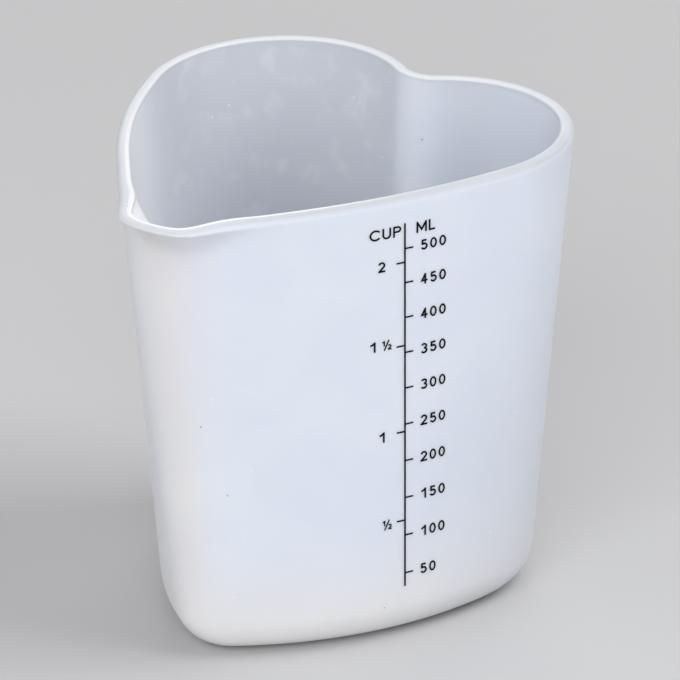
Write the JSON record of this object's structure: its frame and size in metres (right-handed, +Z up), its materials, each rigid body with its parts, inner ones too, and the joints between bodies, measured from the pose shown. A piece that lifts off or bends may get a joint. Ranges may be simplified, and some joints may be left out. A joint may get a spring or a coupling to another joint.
{
  "type": "resin mixing cup",
  "caption": "Heart-shaped silicone rubber cup for mixing and measuring resin, with tapering walls, a pour lip at its tip and a printed scale in millilitres and cups on one flank.",
  "frame": {"origin": "on the underside, in the middle of the cup's width and depth", "axes": "+Z up, out of the open mouth; -Y towards the tip and its pour lip; +Y towards the cleft between the two lobes; +X towards the flank that carries the printed scale"},
  "size_m": [0.1043, 0.1086, 0.11],
  "materials": {
    "silicone": "satin, milky and translucent",
    "ink": "matte screen-printed ink"
  },
  "bodies": {
    "root": {"cup_body": "silicone", "scale_line": "ink", "ml_ticks": "ink", "cup_ticks": "ink", "word_ml": "ink", "word_cup": "ink", "number_50_ml": "ink", "number_100_ml": "ink", "number_150_ml": "ink", "number_200_ml": "ink", "number_250_ml": "ink", "number_300_ml": "ink", "number_350_ml": "ink", "number_400_ml": "ink", "number_450_ml": "ink", "number_500_ml": "ink", "number_half_cup": "ink", "number_1_cup": "ink", "number_1_half_cup": "ink", "number_2_cup": "ink"}
  },
  "joints": []
}
